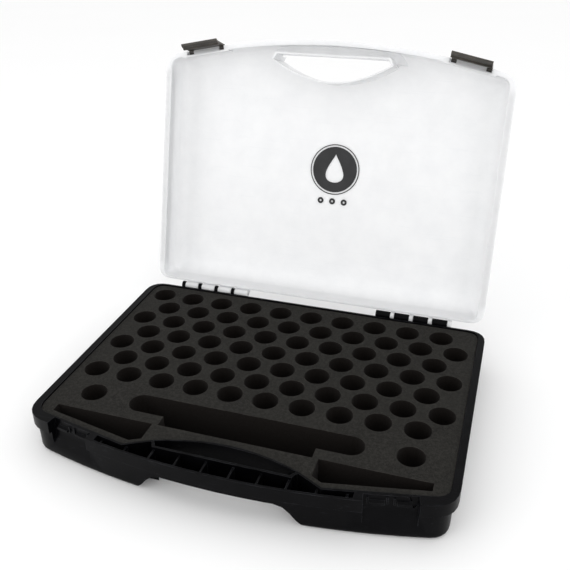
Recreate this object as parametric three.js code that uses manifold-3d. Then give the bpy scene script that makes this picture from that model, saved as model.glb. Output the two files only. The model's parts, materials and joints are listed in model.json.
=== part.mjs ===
// A hinged carry case for hobby paint bottles: a black moulded base holding a drilled foam block,
// a translucent lid standing open on two pinned hinges, and two snap latches on the lid's front edge.
// Units are millimetres, +Z is up, +Y is the hinge side and the origin is the middle of the underside.
import * as THREE from 'three';
import { mergeVertices } from 'three/addons/utils/BufferGeometryUtils.js';
import Module from 'manifold-3d';

const wasm = await Module();
wasm.setup();

// Overall size of the base shell, and of each shell's half of the closed height.
const caseWidth = 400;
const caseDepth = 292;
const shellHeight = 42;
const frontBow = 27;
const cornerRadius = 20;

// Moulding.
const wall = 2.2;
const bandHeight = 13;
const bandStep = 3;
const bandLip = 2;
const sideStep = 5;
const edgeRound = 5;
const lidEdgeRun = 22;
const lidEdgeRise = 15;
const lidSetback = 4.5;
const partingGap = 0.3;
const ribThickness = 1.8;
const ribSpacing = 25;
const ribDrop = 3;

// Finger opening, handle bar and the hand scoop under it.
const gripHalfWidth = 66;
const gripCorner = 4;
const gripSide = 5.8;
const barDepth = 21;
const barHeight = 20;
const baseGripReach = 17.5;
const lidGripReach = 26;
const scoopHalfWidth = 52;
const scoopRun = 34;

// Foam block. The brush slot, its lower step and the two wedge trays go right through it.
const foamDrop = 1.6;
const foamGap = 0.4;
const shoulderX = 91;
const shoulderGap = 10;
const sideGap = 8.4;
const bottleHole = 25;
const holePitch = 36.4;
const rowPitch = 26.2;
const holeSideWall = 6;
const holeRowWall = 8.4;
const holeFlats = 16;
const cornerHoleSetback = 48;
const slotWidth = 25;
const slotSetback = 61;
const slotEndWall = 27.5;
const stepHalfLength = 73.5;
const stepWidth = 12.3;
const wedgeInnerX = 79;
const wedgeChamfer = 10;
const wedgeWall = 7;
const wedgeOuterWall = 14.4;

// Hinges: each shell has wide knuckles on one side and thin ones on the other.
const hingeFromSide = 82.5;
const hingeBack = 5.1;
const barrelRadius = 4.2;
const hingePinRadius = 1.5;
const pinGap = 0.3;
const wideKnuckle = 16.3;
const thinKnuckle = 4.2;
const knuckleGap = 0.35;
const knucklePairs = 4;
const webReach = 3.8;
const webDrop = 2.1;
const gussetDrop = 12;
const openAngle = 106;

// Latches. Depths run inwards from the lid's front face, drops run down from the parting line.
const latchFromSide = 52;
const latchWidth = 43;
const latchSideGap = 1.2;
const latchEar = 5.5;
const latchLength = 20;
const latchPlate = 2.2;
const latchProud = 1.5;
const latchLip = 3;
const latchBarrelRadius = 2.7;
const latchPinRadius = 1.1;
const pivotRise = 6.5;
const pivotDepth = 1.5;
const lidPocketDepth = 5;
const lidPocketHeight = 12;
const basePocketDepth = 4;
const basePocketDrop = 18;
const basePocketSlope = 10;
const lugWidth = 5;
const catchReach = 2.6;
const catchHeight = 4;
const catchDrop = 5;
const catchWidth = 12;
const catchSpacing = 22;
const toothWidth = 1.6;
const toothInset = 3;
const toothReach = 1.4;
const notchWidth = 9;
const notchDrop = 13;
const notchDepth = 1.5;
const hookReach = 2;
const hookHeight = 3.4;
const hookGap = 0.4;
const restAngle = 7;

// Values that follow from the ones above.
const halfWidth = caseWidth / 2;
const backY = caseDepth / 2;
const frontY = -caseDepth / 2;
const rimZ = shellHeight - partingGap / 2;
const hingeX = halfWidth - hingeFromSide;
const hingeY = backY + hingeBack;
const knucklePitch = wideKnuckle + thinKnuckle + 2 * knuckleGap;
const gripY = frontY + barDepth;
const latchX = halfWidth - latchFromSide;
const latchTurn = Math.atan((2 * frontBow * latchX) / halfWidth ** 2);
const pocketHalf = latchWidth / 2 + latchSideGap;
const housingHalf = pocketHalf + lugWidth;
const overcut = 1;
const far = caseWidth;
const pocketOutY = -caseDepth / 3;
const arcSteps = 5;
const edgeSteps = 4;

const bowAt = (x, inset = 0) => frontY + inset + frontBow * (x / halfWidth) ** 2;
const circumscribed = (radius, flats) => radius / Math.cos(Math.PI / flats);

// A closed geometry becomes a solid that can be joined and cut.
function solid(geometry) {
  const bare = geometry.clone();
  bare.deleteAttribute('normal');
  bare.deleteAttribute('uv');
  const merged = mergeVertices(bare, 1e-4);
  return new wasm.Manifold(new wasm.Mesh({
    numProp: 3,
    vertProperties: new Float32Array(merged.attributes.position.array),
    triVerts: new Uint32Array(merged.index.array),
  }));
}

const joinAll = (solids) => solids.reduce((sum, next) => sum.add(next));
const cutAll = (body, cutters) => cutters.reduce((rest, cutter) => rest.subtract(cutter), body);

function namedMesh(name, body, material) {
  const { vertProperties, triVerts } = body.getMesh();
  const geometry = new THREE.BufferGeometry();
  geometry.setAttribute('position', new THREE.BufferAttribute(new Float32Array(vertProperties), 3));
  geometry.setIndex(new THREE.BufferAttribute(new Uint32Array(triVerts), 1));
  geometry.computeVertexNormals();
  const mesh = new THREE.Mesh(geometry, material);
  mesh.name = name;
  return mesh;
}

function extruded(shape, depth) {
  return new THREE.ExtrudeGeometry(shape, { depth, bevelEnabled: false, curveSegments: arcSteps });
}

const polygon = (points) => new THREE.Shape(points.map(([a, b]) => new THREE.Vector2(a, b)));

// A plan outline raised from z0 to z1.
function prism(shape, z0, z1) {
  const geometry = extruded(shape, z1 - z0);
  geometry.translate(0, 0, z0);
  return solid(geometry);
}

// A profile given in Y and Z, drawn out along X from x0 to x1.
function prismAlongX(points, x0, x1) {
  const geometry = extruded(polygon(points), x1 - x0);
  geometry.applyMatrix4(new THREE.Matrix4().set(0, 0, 1, x0, 1, 0, 0, 0, 0, 1, 0, 0, 0, 0, 0, 1));
  return solid(geometry);
}

// A profile given in X and Z, drawn out along Y from y0 to y1.
function prismAlongY(shape, y0, y1) {
  const geometry = extruded(shape, y1 - y0);
  geometry.rotateX(Math.PI / 2);
  geometry.translate(0, y1, 0);
  return solid(geometry);
}

function box(x0, x1, y0, y1, z0, z1) {
  const geometry = new THREE.BoxGeometry(x1 - x0, y1 - y0, z1 - z0);
  geometry.translate((x0 + x1) / 2, (y0 + y1) / 2, (z0 + z1) / 2);
  return solid(geometry);
}

function barAlongX(radius, x0, x1, y, z, flats = 12) {
  const geometry = new THREE.CylinderGeometry(radius, radius, x1 - x0, flats);
  geometry.rotateZ(Math.PI / 2);
  geometry.translate((x0 + x1) / 2, y, z);
  return solid(geometry);
}

// The case in plan: straight sides and back, rounded corners and a bowed front, set in from the
// overall size by a separate amount on the sides, the front and the back.
function caseOutline({ side, front, back }) {
  const half = halfWidth - side;
  const rear = backY - back;
  const radius = Math.max(cornerRadius - side, cornerRadius / 3);
  const cornerY = bowAt(half, front);
  const bowHalf = half - radius;
  const bowSteps = 16;
  const shape = new THREE.Shape();
  shape.moveTo(half, cornerY + radius);
  shape.lineTo(half, rear - radius);
  shape.quadraticCurveTo(half, rear, half - radius, rear);
  shape.lineTo(-half + radius, rear);
  shape.quadraticCurveTo(-half, rear, -half, rear - radius);
  shape.lineTo(-half, cornerY + radius);
  shape.quadraticCurveTo(-half, cornerY, -bowHalf, bowAt(bowHalf, front));
  for (let step = 1; step <= bowSteps; step += 1) {
    const x = bowHalf * ((2 * step) / bowSteps - 1);
    shape.lineTo(x, bowAt(x, front));
  }
  shape.quadraticCurveTo(half, cornerY, half, cornerY + radius);
  return shape;
}

// A closed body of such outlines laid one above the other, each with its own inset and height.
function stackedBody(layers) {
  const rings = layers.map(({ inset, z }) => {
    const ring = caseOutline(inset).getPoints(arcSteps).slice(0, -1);
    return ring.map((point) => new THREE.Vector3(point.x, point.y, z));
  });
  const count = rings[0].length;
  const last = (rings.length - 1) * count;
  const caps = THREE.ShapeUtils.triangulateShape(rings[0], []);
  const corners = caps.flatMap(([a, b, c]) => [c, b, a, last + a, last + b, last + c]);
  for (let start = 0; start < last; start += count) {
    for (let step = 0; step < count; step += 1) {
      const a = start + step;
      const b = start + ((step + 1) % count);
      corners.push(a, b, b + count, a, b + count, a + count);
    }
  }
  const geometry = new THREE.BufferGeometry().setFromPoints(rings.flat());
  geometry.setIndex(corners);
  return solid(geometry);
}

// A body of the case outline between two heights, its lower edge rounded over a run and a rise.
function roundedBody({ side, front, back }, { run, rise }, z0, z1) {
  const layers = [];
  for (let step = 0; step <= edgeSteps; step += 1) {
    const angle = (step / edgeSteps) * (Math.PI / 2);
    const shift = run * (1 - Math.sin(angle));
    layers.push({
      inset: { side: side + shift, front: front + shift, back: back + shift },
      z: z0 + rise * (1 - Math.cos(angle)),
    });
  }
  layers.push({ inset: { side, front, back }, z: z1 });
  return stackedBody(layers);
}

// The finger opening: a straight front along the bar and an arched back, grown by a margin.
function gripOpening(reach, margin) {
  const front = gripY - margin;
  const half = gripHalfWidth + margin;
  const sideY = gripY + gripSide;
  const archY = gripY + reach + margin;
  const shape = new THREE.Shape();
  shape.moveTo(-half + gripCorner, front);
  shape.lineTo(half - gripCorner, front);
  shape.lineTo(half, sideY);
  shape.quadraticCurveTo(half / 2, archY, 0, archY);
  shape.quadraticCurveTo(-half / 2, archY, -half, sideY);
  return prism(shape, -overcut, shellHeight + overcut);
}

// The hand scoop under the handle bar, open to the front, grown by a margin.
function handScoop(margin) {
  const top = shellHeight - barHeight + margin;
  const inner = scoopHalfWidth + margin;
  const outer = inner + scoopRun;
  const middle = (inner + outer) / 2;
  const shape = new THREE.Shape();
  shape.moveTo(outer, -overcut);
  shape.bezierCurveTo(middle, -overcut, middle, top, inner, top);
  shape.lineTo(-inner, top);
  shape.bezierCurveTo(-middle, top, -middle, -overcut, -outer, -overcut);
  return prismAlongY(shape, frontY - overcut, gripY + margin + overcut);
}

// The foam pocket in plan: a shoulder each side of the finger opening and an arch behind it.
function pocketOutline(inset) {
  const half = halfWidth - sideStep - wall - inset;
  const rear = backY - wall - inset;
  const radius = cornerRadius - sideStep - wall;
  const sideY = bowAt(halfWidth) + sideGap + inset;
  const shoulderY = pocketShoulderY(inset);
  const cornerY = THREE.MathUtils.mapLinear(half - radius, shoulderX, half, shoulderY, sideY);
  const archEndX = gripHalfWidth + wall + overcut;
  const archEndY = gripY + gripSide + inset;
  const archY = gripY + baseGripReach + wall + inset;
  const shape = new THREE.Shape();
  shape.moveTo(half, sideY + radius);
  shape.lineTo(half, rear - radius);
  shape.quadraticCurveTo(half, rear, half - radius, rear);
  shape.lineTo(-half + radius, rear);
  shape.quadraticCurveTo(-half, rear, -half, rear - radius);
  shape.lineTo(-half, sideY + radius);
  shape.quadraticCurveTo(-half, sideY, -half + radius, cornerY);
  shape.lineTo(-shoulderX, shoulderY);
  shape.lineTo(-archEndX, archEndY);
  shape.quadraticCurveTo(-archEndX / 2, archY, 0, archY);
  shape.quadraticCurveTo(archEndX / 2, archY, archEndX, archEndY);
  shape.lineTo(shoulderX, shoulderY);
  shape.lineTo(half - radius, cornerY);
  shape.quadraticCurveTo(half, sideY, half, sideY + radius);
  return shape;
}

function pocketShoulderY(inset) {
  return bowAt(shoulderX) + shoulderGap + inset;
}

// The start and end of each knuckle of one shell: wide on the right, thin on the left.
function knuckleSpans() {
  const spans = [];
  for (let pair = 0; pair < knucklePairs; pair += 1) {
    const wideX = hingeX + (pair - (knucklePairs - 1) / 2) * knucklePitch;
    const thinX = -wideX - knucklePitch / 2;
    spans.push([wideX - wideKnuckle / 2, wideX + wideKnuckle / 2]);
    spans.push([thinX - thinKnuckle / 2, thinX + thinKnuckle / 2]);
  }
  return spans;
}

// Each knuckle is a barrel round the pin, on a web that runs down the back wall.
function hingeKnuckles() {
  const webY = backY - wall / 2;
  const knuckles = knuckleSpans().map(([x0, x1]) => {
    const barrel = barAlongX(barrelRadius, x0, x1, hingeY, shellHeight);
    const web = prismAlongX([
      [webY, shellHeight - gussetDrop],
      [hingeY + webReach, shellHeight - webDrop],
      [hingeY, shellHeight - webDrop],
      [backY - overcut / 2, rimZ - wall],
      [webY, rimZ - wall],
    ], x0, x1);
    return barrel.add(web);
  });
  const boreRadius = circumscribed(hingePinRadius + pinGap, 12);
  const bore = barAlongX(boreRadius, -halfWidth, halfWidth, hingeY, shellHeight);
  return joinAll(knuckles).subtract(bore);
}

// Puts a solid made in a latch's own frame (X along the front edge, Y inwards) on both front sides.
function atBothLatches(body) {
  return [-1, 1].map((side) => {
    const place = new THREE.Matrix4().makeRotationZ(side * latchTurn);
    place.setPosition(side * latchX, bowAt(latchX, lidSetback), 0);
    const sided = side > 0 ? body : body.mirror([1, 0, 0]);
    return sided.transform(place.elements);
  });
}

// The outside of one shell, before it is hollowed: a rounded body with a proud band round the rim.
function shellEnvelope(setback, edge) {
  const body = roundedBody({ side: sideStep + setback, front: bandStep + setback, back: 0 }, edge, 0, rimZ);
  const band = prism(caseOutline({ side: setback, front: setback, back: 0 }), rimZ - bandHeight, rimZ);
  return body.add(band);
}

// The grooves under the band along both sides.
function sideGrooves(setback) {
  const outer = halfWidth - setback - bandLip;
  const inner = halfWidth - setback - sideStep;
  const y0 = bowAt(halfWidth) + cornerRadius;
  const y1 = backY - cornerRadius;
  const z0 = rimZ - bandHeight - overcut;
  return [-1, 1].map((side) => {
    const x = [side * inner, side * outer].sort((a, b) => a - b);
    return box(x[0], x[1], y0, y1, z0, rimZ - bandLip);
  });
}

// The hollow between the outer front wall and the pocket wall, with cross ribs left standing in it.
function frontHollow() {
  const half = latchX - housingHalf - wall;
  const reachY = pocketShoulderY(0) + barDepth;
  const zone = box(-half, half, frontY - overcut, reachY, wall, far);
  const lower = prism(caseOutline({ side: sideStep + wall, front: bandStep + wall, back: 0 }), wall, far);
  const upper = prism(caseOutline({ side: wall, front: wall, back: 0 }), rimZ - bandHeight + wall, far);
  const ribs = [];
  for (let x = ribSpacing / 2; x < half; x += ribSpacing) {
    for (const side of [-1, 1]) {
      const middle = side * x;
      const ribX = [middle - ribThickness / 2, middle + ribThickness / 2];
      ribs.push(box(...ribX, frontY, reachY, 0, rimZ - ribDrop));
    }
  }
  const kept = [
    prism(pocketOutline(-wall), -overcut, far),
    gripOpening(baseGripReach, wall),
    handScoop(wall),
    ...ribs,
  ];
  return cutAll(lower.add(upper).intersect(zone), kept);
}

// Recesses in the base front for the latches, each with a sloped foot and a notch at its outer end.
function baseLatchRecess() {
  const footZ = shellHeight - basePocketDrop;
  const recess = prismAlongX([
    [pocketOutY, shellHeight + overcut],
    [pocketOutY, footZ - basePocketSlope],
    [bandStep - lidSetback, footZ - basePocketSlope],
    [basePocketDepth, footZ],
    [basePocketDepth, shellHeight + overcut],
  ], -pocketHalf, pocketHalf);
  const notch = prismAlongY(polygon([
    [pocketHalf, shellHeight + overcut],
    [pocketHalf - notchWidth, shellHeight + overcut],
    [pocketHalf - notchWidth / 2, shellHeight - notchDrop],
    [pocketHalf, shellHeight - notchDrop / 2],
  ]), 0, basePocketDepth + notchDepth);
  return recess.add(notch);
}

// Two catches that the latch hook closes under, and small guide teeth clear of the notch.
function baseCatches() {
  const topZ = shellHeight - catchDrop;
  const rootY = basePocketDepth + wall / 2;
  const tipY = basePocketDepth - catchReach;
  const catches = [-catchSpacing / 2, catchSpacing / 2].map((x) => prismAlongX([
    [rootY, topZ],
    [tipY, topZ - catchHeight / 2],
    [tipY, topZ - catchHeight],
    [rootY, topZ - catchHeight],
  ], x - catchWidth / 2, x + catchWidth / 2));
  const teeth = [-catchSpacing + toothInset, -toothInset, toothInset].map((x) => box(
    x - toothWidth / 2,
    x + toothWidth / 2,
    basePocketDepth - toothReach,
    rootY,
    topZ - catchHeight,
    rimZ - wall,
  ));
  return joinAll([...catches, ...teeth]);
}

function baseShell(material) {
  const envelope = shellEnvelope(0, { run: edgeRound, rise: edgeRound });
  const housingZ = shellHeight - basePocketDrop - basePocketSlope;
  const housingY = basePocketDepth + wall;
  const housing = box(-housingHalf, housingHalf, pocketOutY, housingY, housingZ, rimZ);
  const hollow = cutAll(prism(pocketOutline(0), wall, far), [
    handScoop(wall),
    ...atBothLatches(housing),
  ]);
  const body = cutAll(envelope, [
    hollow,
    frontHollow(),
    ...sideGrooves(0),
    gripOpening(baseGripReach, 0),
    handScoop(0),
    ...atBothLatches(baseLatchRecess()),
  ]);
  const details = [hingeKnuckles(), ...atBothLatches(baseCatches())];
  return namedMesh('base_shell', details.reduce((sum, next) => sum.add(next), body), material);
}

// The lid's part of a latch hinge: a wide knuckle between the latch's two ears.
function latchKnuckle() {
  const half = latchWidth / 2 - latchEar - knuckleGap;
  const pivotZ = shellHeight - pivotRise;
  const low = pivotZ - latchBarrelRadius;
  const high = pivotZ + latchBarrelRadius;
  const web = box(-half, half, pivotDepth, lidPocketDepth + wall / 2, low, high);
  return web.add(barAlongX(latchBarrelRadius, -half, half, pivotDepth, pivotZ));
}

// The lid is moulded like the base and turned over onto it.
function lidShell(material) {
  const pocketZ = shellHeight - lidPocketHeight;
  const pocket = box(-pocketHalf, pocketHalf, pocketOutY, lidPocketDepth, pocketZ, far);
  const housingY = lidPocketDepth + wall;
  const housing = box(-housingHalf, housingHalf, pocketOutY, housingY, pocketZ - wall, rimZ);
  const boreRadius = circumscribed(latchPinRadius + pinGap, 12);
  const boreHalf = housingHalf - lugWidth / 4;
  const bore = barAlongX(boreRadius, -boreHalf, boreHalf, pivotDepth, shellHeight - pivotRise);
  const inner = { side: sideStep + lidSetback + wall, front: bandStep + lidSetback + wall, back: wall };
  const innerEdge = { run: lidEdgeRun - wall, rise: lidEdgeRise - wall };
  const hollow = cutAll(roundedBody(inner, innerEdge, wall, far), [
    gripOpening(lidGripReach, wall),
    handScoop(wall),
    ...atBothLatches(housing),
  ]);
  const moulded = cutAll(shellEnvelope(lidSetback, { run: lidEdgeRun, rise: lidEdgeRise }), [
    hollow,
    ...sideGrooves(lidSetback),
    gripOpening(lidGripReach, 0),
    handScoop(0),
    ...atBothLatches(pocket),
  ]);
  const body = joinAll([moulded, hingeKnuckles(), ...atBothLatches(latchKnuckle())]);
  const mesh = namedMesh('lid_shell', cutAll(body, atBothLatches(bore)), material);
  mesh.rotation.y = Math.PI;
  mesh.position.z = 2 * shellHeight;
  return mesh;
}

// Bottle holes in staggered rows, with one more in each front corner.
function bottleHoles() {
  const foamHalf = halfWidth - sideStep - wall - foamGap;
  const usable = 2 * (foamHalf - holeSideWall) - bottleHole;
  const columns = Math.floor(usable / holePitch - 0.5) + 1;
  const firstY = backY - wall - foamGap - bottleHole / 2 - holeRowWall;
  const lastY = frontY + slotSetback + slotWidth + bottleHole / 2 + holeRowWall;
  const rows = Math.floor((firstY - lastY) / rowPitch) + 1;
  const places = [];
  for (let row = 0; row < rows; row += 1) {
    const shift = (row % 2 === 0 ? -1 : 1) * (holePitch / 4);
    for (let column = 0; column < columns; column += 1) {
      places.push([(column - (columns - 1) / 2) * holePitch + shift, firstY - row * rowPitch]);
    }
  }
  const cornerX = ((columns - 1) / 2) * holePitch - holePitch / 4;
  const cornerY = bowAt(halfWidth) + cornerHoleSetback;
  places.push([-cornerX, cornerY], [cornerX, cornerY]);
  return { places, cornerX };
}

function holeCutter([x, y]) {
  const radius = circumscribed(bottleHole / 2, holeFlats);
  const geometry = new THREE.CylinderGeometry(radius, radius, 2 * shellHeight, holeFlats);
  geometry.rotateX(Math.PI / 2);
  geometry.translate(x, y, shellHeight / 2);
  return solid(geometry);
}

// The brush slot has round ends, and a shorter step along its front.
function brushSlot(cornerX) {
  const half = cornerX - bottleHole / 2 - slotEndWall - slotWidth / 2;
  const frontEdge = frontY + slotSetback;
  const centreY = frontEdge + slotWidth / 2;
  const shape = new THREE.Shape();
  shape.absarc(half, centreY, slotWidth / 2, -Math.PI / 2, Math.PI / 2, false);
  shape.absarc(-half, centreY, slotWidth / 2, Math.PI / 2, Math.PI * 1.5, false);
  const slot = prism(shape, 0, far);
  const step = box(-stepHalfLength, stepHalfLength, frontEdge - stepWidth, centreY, 0, far);
  return slot.add(step);
}

// A tray for small tools in each front corner, widest beside the finger opening.
function wedgeTrays() {
  const topY = frontY + slotSetback - stepWidth;
  const outerX = halfWidth - sideStep - wall - foamGap - wedgeOuterWall;
  const sideY = bowAt(halfWidth) + sideGap;
  const half = halfWidth - sideStep - wall;
  const shoulderY = pocketShoulderY(0);
  const edgeAt = (x) => THREE.MathUtils.mapLinear(x, shoulderX, half, shoulderY, sideY) + wedgeWall;
  return [-1, 1].map((side) => prism(polygon([
    [side * wedgeInnerX, topY],
    [side * wedgeInnerX, shoulderY + wedgeWall + wedgeChamfer / 2],
    [side * (wedgeInnerX + wedgeChamfer), edgeAt(wedgeInnerX + wedgeChamfer)],
    [side * outerX, edgeAt(outerX)],
    [side * outerX, topY],
  ]), 0, far));
}

function foamInsert(material) {
  const { places, cornerX } = bottleHoles();
  const block = prism(pocketOutline(foamGap), wall + foamGap, shellHeight - foamDrop);
  const body = cutAll(block, [
    handScoop(wall + foamGap),
    ...places.map(holeCutter),
    brushSlot(cornerX),
    ...wedgeTrays(),
  ]);
  return namedMesh('foam_insert', body, material);
}

// A hinge pin through all the knuckles of one hinge.
function hingePin(name, side, material) {
  const innerX = hingeX - ((knucklePairs - 1) / 2) * knucklePitch - wideKnuckle / 2;
  const length = knucklePairs * knucklePitch - knuckleGap;
  const geometry = new THREE.CylinderGeometry(hingePinRadius, hingePinRadius, length, 12);
  const mesh = new THREE.Mesh(geometry, material);
  mesh.name = name;
  mesh.rotation.z = Math.PI / 2;
  mesh.position.set(side * (innerX + length / 2), hingeY, shellHeight);
  return mesh;
}

// A latch in its own frame, hanging from its pivot at the origin: two ears on the pin, a plate with
// a hook inside it and a finger lip at its free end.
function latchSolid() {
  const outY = -pivotDepth - latchProud;
  const inY = outY + latchPlate;
  const hookZ = -pivotRise - catchDrop - catchHeight - hookGap;
  const half = latchWidth / 2;
  const plate = prismAlongX([
    [outY, latchBarrelRadius / 2],
    [outY, -latchLength],
    [outY - latchLip / 2, -latchLength - latchLip],
    [outY - latchLip / 2 + latchPlate, -latchLength - latchLip],
    [inY, -latchLength],
    [inY, hookZ - hookHeight],
    [inY + hookReach, hookZ - hookHeight / 2],
    [inY + hookReach, hookZ],
    [inY, hookZ],
    [inY, latchBarrelRadius / 2],
  ], -half, half);
  const barrel = barAlongX(latchBarrelRadius, -half, half, 0, 0);
  const bore = barAlongX(circumscribed(latchPinRadius + pinGap, 12), -far, far, 0, 0);
  const earZ = latchBarrelRadius + pinGap;
  const gap = box(latchEar - half, half - latchEar, outY - overcut, earZ, -earZ, earZ);
  return cutAll(plate.add(barrel), [gap, bore]);
}

// One latch with its pin, in the closed case's frame.
function latchAssembly(label, side, plateMaterial, pinMaterial) {
  const frame = new THREE.Group();
  frame.position.set(side * latchX, bowAt(latchX, lidSetback), shellHeight);
  frame.rotation.z = side * latchTurn;
  const pivot = new THREE.Group();
  pivot.position.set(0, pivotDepth, pivotRise);
  pivot.rotation.x = THREE.MathUtils.degToRad(-restAngle);
  pivot.add(namedMesh(`latch_${label}`, latchSolid(), plateMaterial));
  const length = 2 * (housingHalf - lugWidth / 2);
  const pinGeometry = new THREE.CylinderGeometry(latchPinRadius, latchPinRadius, length, 12);
  const pin = new THREE.Mesh(pinGeometry, pinMaterial);
  pin.name = `latch_pin_${label}`;
  pin.position.copy(pivot.position);
  pin.rotation.z = Math.PI / 2;
  frame.add(pivot, pin);
  return frame;
}

// The lid and its latches turn together about the hinge line.
function openLid(...children) {
  const closedFrame = new THREE.Group();
  closedFrame.position.set(0, -hingeY, -shellHeight);
  closedFrame.add(...children);
  const hinge = new THREE.Group();
  hinge.position.set(0, hingeY, shellHeight);
  hinge.rotation.x = THREE.MathUtils.degToRad(-openAngle);
  hinge.add(closedFrame);
  return hinge;
}

const blackPlastic = new THREE.MeshStandardMaterial({ color: 0x17181a, roughness: 0.42, metalness: 0 });
const milkyPlastic = new THREE.MeshStandardMaterial({ color: 0xeef0f1, roughness: 0.35, metalness: 0 });
const darkFoam = new THREE.MeshStandardMaterial({ color: 0x333231, roughness: 0.95, metalness: 0 });
const latchPlastic = new THREE.MeshStandardMaterial({ color: 0x3a3833, roughness: 0.45, metalness: 0 });
const steel = new THREE.MeshStandardMaterial({ color: 0xb8babd, roughness: 0.3, metalness: 1 });

const carryCase = new THREE.Group();
carryCase.add(
  baseShell(blackPlastic),
  foamInsert(darkFoam),
  hingePin('hinge_pin_left', -1, steel),
  hingePin('hinge_pin_right', 1, steel),
  openLid(
    lidShell(milkyPlastic),
    latchAssembly('left', -1, latchPlastic, steel),
    latchAssembly('right', 1, latchPlastic, steel),
  ),
);

export default carryCase;
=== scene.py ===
# A hinged carry case for hobby paint bottles, open: black base, drilled foam block, milky lid,
# two hinges and two snap latches. Metres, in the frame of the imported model.
import json
import math

import bpy
from mathutils import Matrix, Vector


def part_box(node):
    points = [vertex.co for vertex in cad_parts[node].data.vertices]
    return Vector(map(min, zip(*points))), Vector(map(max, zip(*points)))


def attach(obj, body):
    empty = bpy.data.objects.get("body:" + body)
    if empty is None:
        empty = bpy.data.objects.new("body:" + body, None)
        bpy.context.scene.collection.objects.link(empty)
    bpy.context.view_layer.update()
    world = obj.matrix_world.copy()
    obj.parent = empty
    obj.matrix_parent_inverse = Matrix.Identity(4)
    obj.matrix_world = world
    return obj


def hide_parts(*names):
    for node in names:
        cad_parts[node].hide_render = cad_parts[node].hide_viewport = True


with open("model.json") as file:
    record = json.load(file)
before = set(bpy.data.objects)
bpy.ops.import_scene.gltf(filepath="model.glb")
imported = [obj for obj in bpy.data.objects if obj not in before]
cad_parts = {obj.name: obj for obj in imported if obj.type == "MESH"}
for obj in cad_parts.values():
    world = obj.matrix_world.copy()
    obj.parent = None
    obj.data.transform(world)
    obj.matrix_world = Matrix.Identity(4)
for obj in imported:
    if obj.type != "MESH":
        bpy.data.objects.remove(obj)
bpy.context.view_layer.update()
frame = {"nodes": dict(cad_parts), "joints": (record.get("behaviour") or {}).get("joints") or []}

# BASE SHELL
# The lower half of the case, one moulding in black polypropylene: rim band, handle bar with its
# finger opening, ribbed hollow in front of the foam, latch catches and hinge knuckles.


def alone(piece):
    """Selects one piece only and makes it the active one."""
    bpy.ops.object.select_all(action="DESELECT")
    piece.select_set(True)
    bpy.context.view_layer.objects.active = piece


def clean_copy(node, name):
    """A copy of a CAD node, with its loose triangles merged and its flat faces made whole."""
    piece = bpy.data.objects.new(name, frame["nodes"][node].data.copy())
    bpy.context.scene.collection.objects.link(piece)
    piece.data.materials.clear()
    alone(piece)
    if piece.data.has_custom_normals:
        bpy.ops.mesh.customdata_custom_splitnormals_clear()
    bpy.ops.object.mode_set(mode="EDIT")
    bpy.ops.mesh.select_all(action="SELECT")
    bpy.ops.mesh.remove_doubles(threshold=0.000012)
    bpy.ops.mesh.dissolve_limited(angle_limit=math.radians(0.4))
    bpy.ops.object.mode_set(mode="OBJECT")
    return piece


def apply_all(piece):
    """Applies every modifier on a piece, from the top down."""
    alone(piece)
    for modifier in list(piece.modifiers):
        bpy.ops.object.modifier_apply(modifier=modifier.name)


def soften_edges(piece, radius, steps=2, angle=32):
    """Gives the edges the small radius they leave the tool with, and shades the faces evenly."""
    bevel = piece.modifiers.new("edge radius", "BEVEL")
    bevel.width = radius
    bevel.segments = steps
    bevel.limit_method = "ANGLE"
    bevel.angle_limit = math.radians(angle)
    alone(piece)
    bpy.ops.object.shade_smooth()
    even = piece.modifiers.new("even shading", "WEIGHTED_NORMAL")
    even.mode = "FACE_AREA"
    even.weight = 100
    apply_all(piece)


def wired(tree, kind, inputs, **settings):
    """Adds a shader node, sets its options, and gives each input a value or a link."""
    node = tree.nodes.new("ShaderNode" + kind)
    for name, value in settings.items():
        setattr(node, name, value)
    for name, value in inputs.items():
        if isinstance(value, bpy.types.NodeSocket):
            tree.links.new(value, node.inputs[name])
        else:
            node.inputs[name].default_value = value
    return node


def group_of(name, inputs, outputs):
    """An empty shader node group with named float inputs and outputs."""
    tree = bpy.data.node_groups.new(name, "ShaderNodeTree")
    for label, value in inputs.items():
        socket = tree.interface.new_socket(name=label, in_out="INPUT", socket_type="NodeSocketFloat")
        socket.default_value = value
    for label in outputs:
        tree.interface.new_socket(name=label, in_out="OUTPUT", socket_type="NodeSocketFloat")
    return tree, tree.nodes.new("NodeGroupInput"), tree.nodes.new("NodeGroupOutput")


def placed(tree, group, **values):
    """Puts a node group into a material with its own values."""
    node = tree.nodes.new("ShaderNodeGroup")
    node.node_tree = group
    for name, value in values.items():
        node.inputs[name.replace("_", " ")].default_value = value
    return node


def new_material(name):
    """A material with only its Principled shader left in, and its node tree."""
    material = bpy.data.materials.new(name)
    material.use_nodes = True
    tree = material.node_tree
    return material, tree, tree.nodes["Principled BSDF"]


def mixed(tree, factor, a, b):
    """One colour laid over another by a mask."""
    node = wired(tree, "Mix", {0: factor, 6: a, 7: b}, data_type="RGBA")
    return node.outputs[2]


def ranged(tree, value, low, high, out_low=0.0, out_high=1.0):
    """A value stretched from one range to another and held inside it."""
    inputs = {"Value": value, "From Min": low, "From Max": high, "To Min": out_low, "To Max": out_high}
    return wired(tree, "MapRange", inputs).outputs["Result"]


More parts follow.
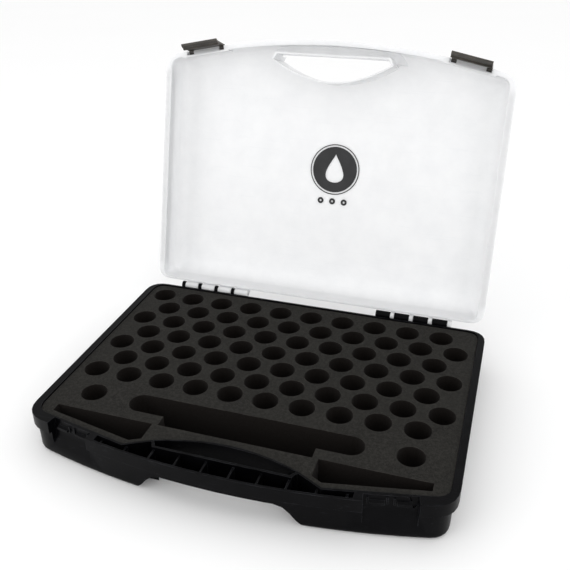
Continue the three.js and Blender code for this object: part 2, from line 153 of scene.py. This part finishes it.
# The grain that spark erosion leaves in the tool: a fine orange-peel height and a soft mottle.
moulded_grain, taken, given = group_of("moulded grain", {"Grain per metre": 2600.0}, ["Height", "Mottle"])
spot = wired(moulded_grain, "TexCoord", {}).outputs["Object"]
fine = wired(moulded_grain, "TexNoise", {"Vector": spot, "Scale": taken.outputs[0], "Detail": 2.0})
peel = wired(moulded_grain, "TexNoise", {"Vector": spot, "Scale": 420.0, "Detail": 1.0})
wide = wired(moulded_grain, "TexNoise", {"Vector": spot, "Scale": 34.0, "Detail": 5.0, "Roughness": 0.6})
heights = {0: peel.outputs[0], 1: 0.8, 2: fine.outputs[0]}
height = wired(moulded_grain, "Math", heights, operation="MULTIPLY_ADD")
moulded_grain.links.new(height.outputs[0], given.inputs["Height"])
moulded_grain.links.new(ranged(moulded_grain, wide.outputs[0], 0.32, 0.68), given.inputs["Mottle"])

# Edge mask: where a face turns a corner, broken up so that the mark comes and goes. The colour each
# material lays on it is partly wear and partly painted light: a painted highlight on paler edges, painted
# shade on greyer ones.
edge_wear_and_painted_light, taken, given = group_of("edge wear and painted light", {"Radius": 0.0006, "Patch per metre": 90.0}, ["Mask"])
spot = wired(edge_wear_and_painted_light, "TexCoord", {}).outputs["Object"]
turned = wired(edge_wear_and_painted_light, "Bevel", {"Radius": taken.outputs[0]}, samples=4)
plain = wired(edge_wear_and_painted_light, "NewGeometry", {}).outputs["Normal"]
facing = wired(edge_wear_and_painted_light, "VectorMath", {0: turned.outputs[0], 1: plain}, operation="DOT_PRODUCT")
corner = ranged(edge_wear_and_painted_light, facing.outputs["Value"], 0.995, 0.9)
patch = wired(edge_wear_and_painted_light, "TexNoise", {"Vector": spot, "Scale": taken.outputs[1], "Detail": 4.0})
broken = ranged(edge_wear_and_painted_light, patch.outputs[0], 0.4, 0.64)
patchy_edges = wired(edge_wear_and_painted_light, "Math", {0: corner, 1: broken}, operation="MULTIPLY")
edge_wear_and_painted_light.links.new(patchy_edges.outputs[0], given.inputs["Mask"])

# Fine handling scratches: two crossed sets of long thin streaks, mostly absent.
hair_scratches, taken, given = group_of("hair scratches", {"Amount": 0.5}, ["Mask"])
spot = wired(hair_scratches, "TexCoord", {}).outputs["Object"]
streaks = []
for turn, stretch in ((0.5, (14.0, 900.0, 300.0)), (-0.9, (18.0, 700.0, 260.0))):
    laid = wired(hair_scratches, "Mapping", {"Vector": spot, "Rotation": (0, 0.2, turn), "Scale": stretch})
    streak = wired(hair_scratches, "TexNoise", {"Vector": laid.outputs[0], "Scale": 1.0, "Detail": 1.0})
    streaks.append(ranged(hair_scratches, streak.outputs[0], 0.69, 0.74))
both = wired(hair_scratches, "Math", {0: streaks[0], 1: streaks[1]}, operation="MAXIMUM")
some = wired(hair_scratches, "Math", {0: both.outputs[0], 1: taken.outputs[0]}, operation="MULTIPLY")
hair_scratches.links.new(some.outputs[0], given.inputs["Mask"])


def moulded_plastic(name, dark, light, scratch_and_painted_edge_colour, edge_wear_and_light_amount, rough, bump, scratches):
    """Satin moulded polypropylene: mottled colour, grain, hair scratches, and an edge colour that is partly
    wear and partly painted highlight and shade.
    """
    material, tree, shader = new_material(name)
    grain = placed(tree, moulded_grain)
    edges = placed(tree, edge_wear_and_painted_light)
    hair = placed(tree, hair_scratches, Amount=scratches)
    colour = mixed(tree, grain.outputs["Mottle"], dark, light)
    # The edges take the scratch colour: partly wear, partly painted highlight and shade along them.
    edge_wear_and_light_mix = ranged(tree, edges.outputs["Mask"], 0.0, 1.0, 0.0, edge_wear_and_light_amount)
    colour = mixed(tree, edge_wear_and_light_mix, colour, scratch_and_painted_edge_colour)
    colour = mixed(tree, hair.outputs["Mask"], colour, scratch_and_painted_edge_colour)
    tree.links.new(colour, shader.inputs["Base Color"])
    satin = ranged(tree, grain.outputs["Mottle"], 0.0, 1.0, rough - 0.04, rough + 0.05)
    tree.links.new(satin, shader.inputs["Roughness"])
    relief = wired(tree, "Bump", {"Height": grain.outputs["Height"], "Strength": bump, "Distance": 0.00006})
    tree.links.new(relief.outputs[0], shader.inputs["Normal"])
    shader.inputs["IOR"].default_value = 1.49
    return material, shader


base = clean_copy("base_shell", "base_moulding")
soften_edges(base, 0.00035)
black_pp, shader = moulded_plastic(
    "black polypropylene",
    dark=(0.0010, 0.0010, 0.0013, 1),
    light=(0.0024, 0.0024, 0.0030, 1),
    # Paler edges: partly wear, partly a painted highlight along them.
    scratch_and_painted_edge_colour=(0.070, 0.073, 0.081, 1),
    edge_wear_and_light_amount=0.5,
    rough=0.33,
    bump=0.35,
    scratches=0.05,
)
shader.inputs["Specular IOR Level"].default_value = 0.055
base.data.materials.append(black_pp)
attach(base, "base")
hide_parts("base_shell")

# FOAM INSERT
# One block of closed-cell foam pressed into the base, cut right through: round bottle holes in
# staggered rows, a stepped slot for brushes, and a wedge-shaped tray on each side of the handle.
foam = clean_copy("foam_insert", "foam_block")
low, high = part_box("foam_insert")
hole_radius = 0.01276
hole_pitch = 0.0364
row_pitch = 0.0262
row_count = 7
holes_in_row = 10
first_row = 0.1225
front_hole_x = 4.25 * hole_pitch
front_hole_y = -0.071
drill_length = 0.08
drills = []
for row in range(row_count):
    shift = (-1 if row % 2 == 0 else 1) * hole_pitch / 4
    for column in range(holes_in_row):
        x = (column - (holes_in_row - 1) / 2) * hole_pitch + shift
        drills.append((x, first_row - row * row_pitch))
drills += [(-front_hole_x, front_hole_y), (front_hole_x, front_hole_y)]
bpy.ops.object.select_all(action="DESELECT")
bits = []
for x, y in drills:
    middle = (x, y, (low.z + high.z) / 2)
    bpy.ops.mesh.primitive_cylinder_add(
        vertices=44, radius=hole_radius, depth=drill_length, location=middle
    )
    bits.append(bpy.context.active_object)
for bit in bits:
    bit.select_set(True)
bpy.ops.object.join()
cutter = bpy.context.active_object
drilled = foam.modifiers.new("bottle holes", "BOOLEAN")
drilled.operation = "DIFFERENCE"
drilled.solver = "EXACT"
drilled.object = cutter
apply_all(foam)
bpy.data.objects.remove(cutter)
bpy.ops.object.mode_set(mode="EDIT")
bpy.ops.mesh.select_all(action="SELECT")
bpy.ops.mesh.remove_doubles(threshold=0.00001)
bpy.ops.mesh.dissolve_limited(angle_limit=math.radians(0.4))
bpy.ops.object.mode_set(mode="OBJECT")
soften_edges(foam, 0.0007, steps=3, angle=40)

# Foam colour: near-black, a little brown, with the cells cut open at the surface.
foam_skin, tree, shader = new_material("closed-cell foam")
spot = wired(tree, "TexCoord", {}).outputs["Object"]
cells = wired(tree, "TexVoronoi", {"Vector": spot, "Scale": 1500.0, "Randomness": 1.0})
crumbs = wired(tree, "TexNoise", {"Vector": spot, "Scale": 700.0, "Detail": 4.0, "Roughness": 0.7})
patches = wired(tree, "TexNoise", {"Vector": spot, "Scale": 22.0, "Detail": 3.0})
specks = wired(tree, "TexNoise", {"Vector": spot, "Scale": 1900.0, "Detail": 0.0})
edges = placed(tree, edge_wear_and_painted_light, Radius=0.0012, Patch_per_metre=60.0)
cell_pit = (0.0028, 0.0024, 0.0021, 1)
cell_wall = (0.0136, 0.0130, 0.0112, 1)
colour = mixed(tree, ranged(tree, cells.outputs["Distance"], 0.05, 0.75), cell_pit, cell_wall)
faded = ranged(tree, patches.outputs[0], 0.35, 0.65, 0.0, 0.35)
colour = mixed(tree, faded, colour, (0.0170, 0.0163, 0.0140, 1))
coarse = wired(tree, "TexNoise", {"Vector": spot, "Scale": 380.0, "Detail": 3.0, "Roughness": 0.65})
grainy = ranged(tree, coarse.outputs[0], 0.42, 0.66, 0.0, 0.6)
colour = mixed(tree, grainy, colour, (0.0270, 0.0258, 0.0225, 1))
speckled = ranged(tree, specks.outputs[0], 0.66, 0.78, 0.0, 0.5)
colour = mixed(tree, speckled, colour, (0.055, 0.051, 0.047, 1))
# Painted shade: the cut walls of the holes, slot and trays are painted a darker, warmer black than the skin
# on top, for the light that does not reach into them.
upright = wired(tree, "SeparateXYZ", {"Vector": wired(tree, "TexCoord", {}).outputs["Normal"]})
cut_side = wired(tree, "Math", {0: upright.outputs["Z"]}, operation="ABSOLUTE")
painted_wall_shade = ranged(tree, cut_side.outputs[0], 0.15, 0.5, 0.8, 0.0)
colour = mixed(tree, painted_wall_shade, colour, (0.0052, 0.0031, 0.0023, 1))
# Painted highlight: the rounded edges of the foam are painted a paler grey.
painted_edge_highlight = ranged(tree, edges.outputs["Mask"], 0.0, 1.0, 0.0, 0.5)
colour = mixed(tree, painted_edge_highlight, colour, (0.055, 0.050, 0.046, 1))
tree.links.new(colour, shader.inputs["Base Color"])
rough = ranged(tree, crumbs.outputs[0], 0.3, 0.7, 0.82, 0.97)
tree.links.new(rough, shader.inputs["Roughness"])
depths = {0: cells.outputs["Distance"], 1: 0.9, 2: crumbs.outputs[0]}
pits = wired(tree, "Math", depths, operation="MULTIPLY_ADD")
relief = wired(tree, "Bump", {"Height": pits.outputs[0], "Strength": 0.6, "Distance": 0.0002})
tree.links.new(relief.outputs[0], shader.inputs["Normal"])
shader.inputs["Specular IOR Level"].default_value = 0.12
shader.inputs["Sheen Weight"].default_value = 0.02
shader.inputs["Sheen Roughness"].default_value = 0.6
foam.data.materials.append(foam_skin)
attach(foam, "base")
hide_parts("foam_insert")

# LID SHELL
# The same moulding turned over, in unpigmented polypropylene that looks milky and lets light
# through; its floor runs up into the walls in a wide soft curve.
lid = clean_copy("lid_shell", "lid_moulding")
soften_edges(lid, 0.00035, angle=36)
milky_pp, shader = moulded_plastic(
    "milky polypropylene",
    dark=(0.732, 0.738, 0.750, 1),
    light=(0.784, 0.789, 0.798, 1),
    # Greyer edges: painted shade along the edges of the milky walls; the hair scratches take the same grey.
    scratch_and_painted_edge_colour=(0.55, 0.575, 0.615, 1),
    edge_wear_and_light_amount=0.7,
    rough=0.4,
    bump=0.3,
    scratches=0.07,
)
shader.inputs["Subsurface Weight"].default_value = 0.8
shader.inputs["Subsurface Radius"].default_value = (1.0, 1.0, 1.0)
shader.inputs["Subsurface Scale"].default_value = 0.01
lid.data.materials.append(milky_pp)
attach(lid, "lid")
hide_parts("lid_shell")

# PRINTED BADGE
# A plain badge in black screen ink on the outer face of the lid, and a painted copy on the inner face that
# stands in for the print's shadow seen through the milky wall: a disc with a paint drop left clear in it, a
# fine ring round it and three spots below.
badge_x = 0.0055
badge_y = -0.002
disc_radius = 0.0262
ring_inner = 0.0280
ring_outer = 0.0291
spot_radius = 0.0036
spot_hole_radius = 0.0012
spot_spacing = 0.014
spots_below = 0.037
ink_thickness = 0.00009
# The inside layer is painted shade: a black copy of the outside print, where only its shadow through the
# wall shows.
closed_floor = {"inside": 0.0818, "outside": 0.084}
hinge = Vector(next(j for j in frame["joints"] if j["name"] == "lid_hinge")["pos_m"])
open_angle = 106
swing = Matrix.Rotation(math.radians(-open_angle), 4, "X")
open_lid = Matrix.Translation(hinge) @ swing @ Matrix.Translation(-hinge)


def ring_piece(name, outer, inner_points, x, y, z):
    """A flat ring of ink between an outer circle and an inner outline with as many points."""
    bpy.ops.object.select_all(action="DESELECT")
    count = len(inner_points)
    bpy.ops.mesh.primitive_circle_add(vertices=count, radius=outer, location=(0, 0, 0))
    piece = bpy.context.active_object
    piece.name = name
    bpy.ops.object.mode_set(mode="EDIT")
    bpy.ops.mesh.select_all(action="SELECT")
    bpy.ops.mesh.duplicate()
    bpy.ops.transform.resize(value=(0.5, 0.5, 0.5))
    bpy.ops.object.mode_set(mode="OBJECT")
    for vertex, point in zip(piece.data.vertices[count:], inner_points):
        vertex.co = (point[0], point[1], 0)
    bpy.ops.object.mode_set(mode="EDIT")
    bpy.ops.mesh.select_all(action="SELECT")
    bpy.ops.mesh.bridge_edge_loops()
    bpy.ops.mesh.select_all(action="SELECT")
    bpy.ops.mesh.normals_make_consistent(inside=False)
    bpy.ops.object.mode_set(mode="OBJECT")
    piece.data.transform(Matrix.Translation((x, y, z)))
    return piece


def around(count, reach):
    """Points round a closed outline, starting where a primitive circle starts."""
    turns = [2 * math.pi * step / count for step in range(count)]
    return [(-math.sin(turn) * reach(turn)[0], math.cos(turn) * reach(turn)[1]) for turn in turns]


def drop_reach(turn):
    """A paint drop: round at one end, drawn out to a tip at the other."""
    width = 0.0150 * abs(math.cos(turn / 2)) ** 1.4
    return width, 0.0150 if math.cos(turn) > 0 else 0.0178


ink, tree, shader = new_material("black ink and painted show-through")
spot = wired(tree, "TexCoord", {}).outputs["Object"]
mesh_marks = wired(tree, "TexNoise", {"Vector": spot, "Scale": 2400.0, "Detail": 1.0})
thin_ink = wired(tree, "TexNoise", {"Vector": spot, "Scale": 60.0, "Detail": 4.0})
thin = ranged(tree, thin_ink.outputs[0], 0.4, 0.7)
colour = mixed(tree, thin, (0.006, 0.006, 0.007, 1), (0.016, 0.016, 0.018, 1))
tree.links.new(colour, shader.inputs["Base Color"])
tree.links.new(ranged(tree, mesh_marks.outputs[0], 0.3, 0.7, 0.42, 0.6), shader.inputs["Roughness"])
relief = wired(tree, "Bump", {"Height": mesh_marks.outputs[0], "Strength": 0.2, "Distance": 0.00003})
tree.links.new(relief.outputs[0], shader.inputs["Normal"])

for face, floor_z in closed_floor.items():
    base_z = floor_z - ink_thickness if face == "inside" else floor_z
    ring_hole = around(96, lambda turn: (ring_inner, ring_inner))
    spot_hole = around(32, lambda turn: (spot_hole_radius, spot_hole_radius))
    parts = [
        ring_piece("disc", disc_radius, around(96, drop_reach), badge_x, badge_y, base_z),
        ring_piece("ring", ring_outer, ring_hole, badge_x, badge_y, base_z),
    ]
    for offset in (-spot_spacing, 0.0, spot_spacing):
        spot_x = badge_x + offset
        parts.append(ring_piece("spot", spot_radius, spot_hole, spot_x, badge_y + spots_below, base_z))
    bpy.ops.object.select_all(action="DESELECT")
    for part in parts:
        part.select_set(True)
    bpy.context.view_layer.objects.active = parts[0]
    bpy.ops.object.join()
    badge = bpy.context.active_object
    badge.name = "badge_layer_" + face
    bpy.ops.object.mode_set(mode="EDIT")
    bpy.ops.mesh.select_all(action="SELECT")
    bpy.ops.mesh.extrude_region_move(TRANSFORM_OT_translate={"value": (0, 0, ink_thickness)})
    bpy.ops.mesh.select_all(action="SELECT")
    bpy.ops.mesh.normals_make_consistent(inside=False)
    bpy.ops.object.mode_set(mode="OBJECT")
    badge.data.transform(open_lid)
    badge.data.materials.append(ink)
    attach(badge, "lid")

# HINGE PINS AND LATCH PINS
# Four straight lengths of drawn steel wire, pressed in from the side; only their ends and the
# gaps between knuckles show them.
wire, tree, shader = new_material("drawn steel wire")
spot = wired(tree, "TexCoord", {}).outputs["Object"]
laid = wired(tree, "Mapping", {"Vector": spot, "Scale": (60.0, 5200.0, 5200.0)})
drawn = wired(tree, "TexNoise", {"Vector": laid.outputs[0], "Scale": 1.0, "Detail": 3.0})
oil = wired(tree, "TexNoise", {"Vector": spot, "Scale": 300.0, "Detail": 3.0})
colour = mixed(tree, drawn.outputs[0], (0.42, 0.43, 0.44, 1), (0.66, 0.67, 0.68, 1))
colour = mixed(tree, ranged(tree, oil.outputs[0], 0.55, 0.7, 0.0, 0.5), colour, (0.2, 0.18, 0.16, 1))
tree.links.new(colour, shader.inputs["Base Color"])
tree.links.new(ranged(tree, drawn.outputs[0], 0.3, 0.7, 0.22, 0.4), shader.inputs["Roughness"])
relief = wired(tree, "Bump", {"Height": drawn.outputs[0], "Strength": 0.25, "Distance": 0.00002})
tree.links.new(relief.outputs[0], shader.inputs["Normal"])
shader.inputs["Metallic"].default_value = 1.0
pins = {
    "hinge_pin_left": "base",
    "hinge_pin_right": "base",
    "latch_pin_left": "lid",
    "latch_pin_right": "lid",
}
for node, body in pins.items():
    pin = clean_copy(node, node.replace("pin", "wire"))
    soften_edges(pin, 0.0003, steps=2, angle=50)
    pin.data.materials.append(wire)
    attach(pin, body)
    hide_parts(node)

# LATCHES
# Two snap latches in dark olive polypropylene: two ears on the pin, a plate with a sunk panel and
# a raised border, a hook inside it, and a turned-out finger lip.
latch_pp, shader = moulded_plastic(
    "olive polypropylene",
    dark=(0.022, 0.019, 0.015, 1),
    light=(0.037, 0.032, 0.026, 1),
    # Pale tan edges: partly wear, partly a painted highlight that outlines the sunk panel.
    scratch_and_painted_edge_colour=(0.30, 0.25, 0.20, 1),
    edge_wear_and_light_amount=0.85,
    rough=0.36,
    bump=0.3,
    scratches=0.1,
)
panel_border = 0.0020
panel_depth = 0.0009
for side in ("left", "right"):
    latch = clean_copy("latch_" + side, "latch_plate_" + side)
    bpy.ops.object.mode_set(mode="EDIT")
    bpy.ops.mesh.select_mode(type="FACE")
    bpy.ops.mesh.select_all(action="DESELECT")
    bpy.ops.object.mode_set(mode="OBJECT")
    plate = max(latch.data.polygons, key=lambda face: face.area)
    plate.select = True
    bpy.ops.object.mode_set(mode="EDIT")
    bpy.ops.mesh.inset(thickness=panel_border, depth=-panel_depth)
    bpy.ops.object.mode_set(mode="OBJECT")
    soften_edges(latch, 0.00025, steps=2, angle=36)
    latch.data.materials.append(latch_pp)
    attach(latch, "latch_" + side)
    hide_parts("latch_" + side)

# FLOOR, LIGHT AND CAMERA
# A plain white table that runs out of view, soft lights from the left, the right and above, and
# the camera a little to the right of the handle, looking down.
bpy.ops.object.select_all(action="DESELECT")
bpy.ops.mesh.primitive_plane_add(size=30, location=(0, 0, 0))
table = bpy.context.active_object
table.name = "table"
paper, tree, shader = new_material("white table")
spot = wired(tree, "TexCoord", {}).outputs["Object"]
fibres = wired(tree, "TexNoise", {"Vector": spot, "Scale": 3.0, "Detail": 4.0})
colour = mixed(tree, fibres.outputs[0], (0.945, 0.945, 0.945, 1), (0.96, 0.96, 0.96, 1))
tree.links.new(colour, shader.inputs["Base Color"])
shader.inputs["Roughness"].default_value = 0.9
table.data.materials.append(paper)

world = bpy.data.worlds.new("studio")
bpy.context.scene.world = world
world.use_nodes = True
world.node_tree.nodes["Background"].inputs["Color"].default_value = (1, 1, 1, 1)
world.node_tree.nodes["Background"].inputs["Strength"].default_value = 1.0


def soft_light(name, place, target, size, watts):
    """A square soft box at a place, turned towards a target."""
    lamp = bpy.data.lights.new(name, "AREA")
    lamp.shape = "SQUARE"
    lamp.size = size
    lamp.energy = watts
    holder = bpy.data.objects.new(name, lamp)
    bpy.context.scene.collection.objects.link(holder)
    holder.location = place
    holder.rotation_euler = (Vector(target) - Vector(place)).to_track_quat("-Z", "Y").to_euler()


soft_light("key light", (-1.6, -1.7, 0.85), (0, 0, 0.12), 1.5, 9)
soft_light("top light", (0.4, -0.3, 2.2), (0, 0, 0), 1.8, 3)
soft_light("lid fill", (1.3, -1.6, 1.1), (-0.1, 0.15, 0.2), 1.4, 6)

forward = Vector((-0.2742, 0.8304, -0.4850)).normalized()
level = forward.cross(Vector((0, 0, 1))).normalized()
right = (Matrix.Rotation(math.radians(0.75), 3, forward) @ level).normalized()
upward = right.cross(forward)
lens = bpy.data.cameras.new("camera")
lens.sensor_width = 36
lens.lens = 46.67
lens.clip_start = 0.01
lens.clip_end = 60
camera = bpy.data.objects.new("camera", lens)
bpy.context.scene.collection.objects.link(camera)
camera.matrix_world = Matrix(
    (
        (right.x, upward.x, -forward.x, 0.2050),
        (right.y, upward.y, -forward.y, -0.5634),
        (right.z, upward.z, -forward.z, 0.4789),
        (0, 0, 0, 1),
    )
)
bpy.context.scene.camera = camera
bpy.context.scene.view_settings.view_transform = "Standard"
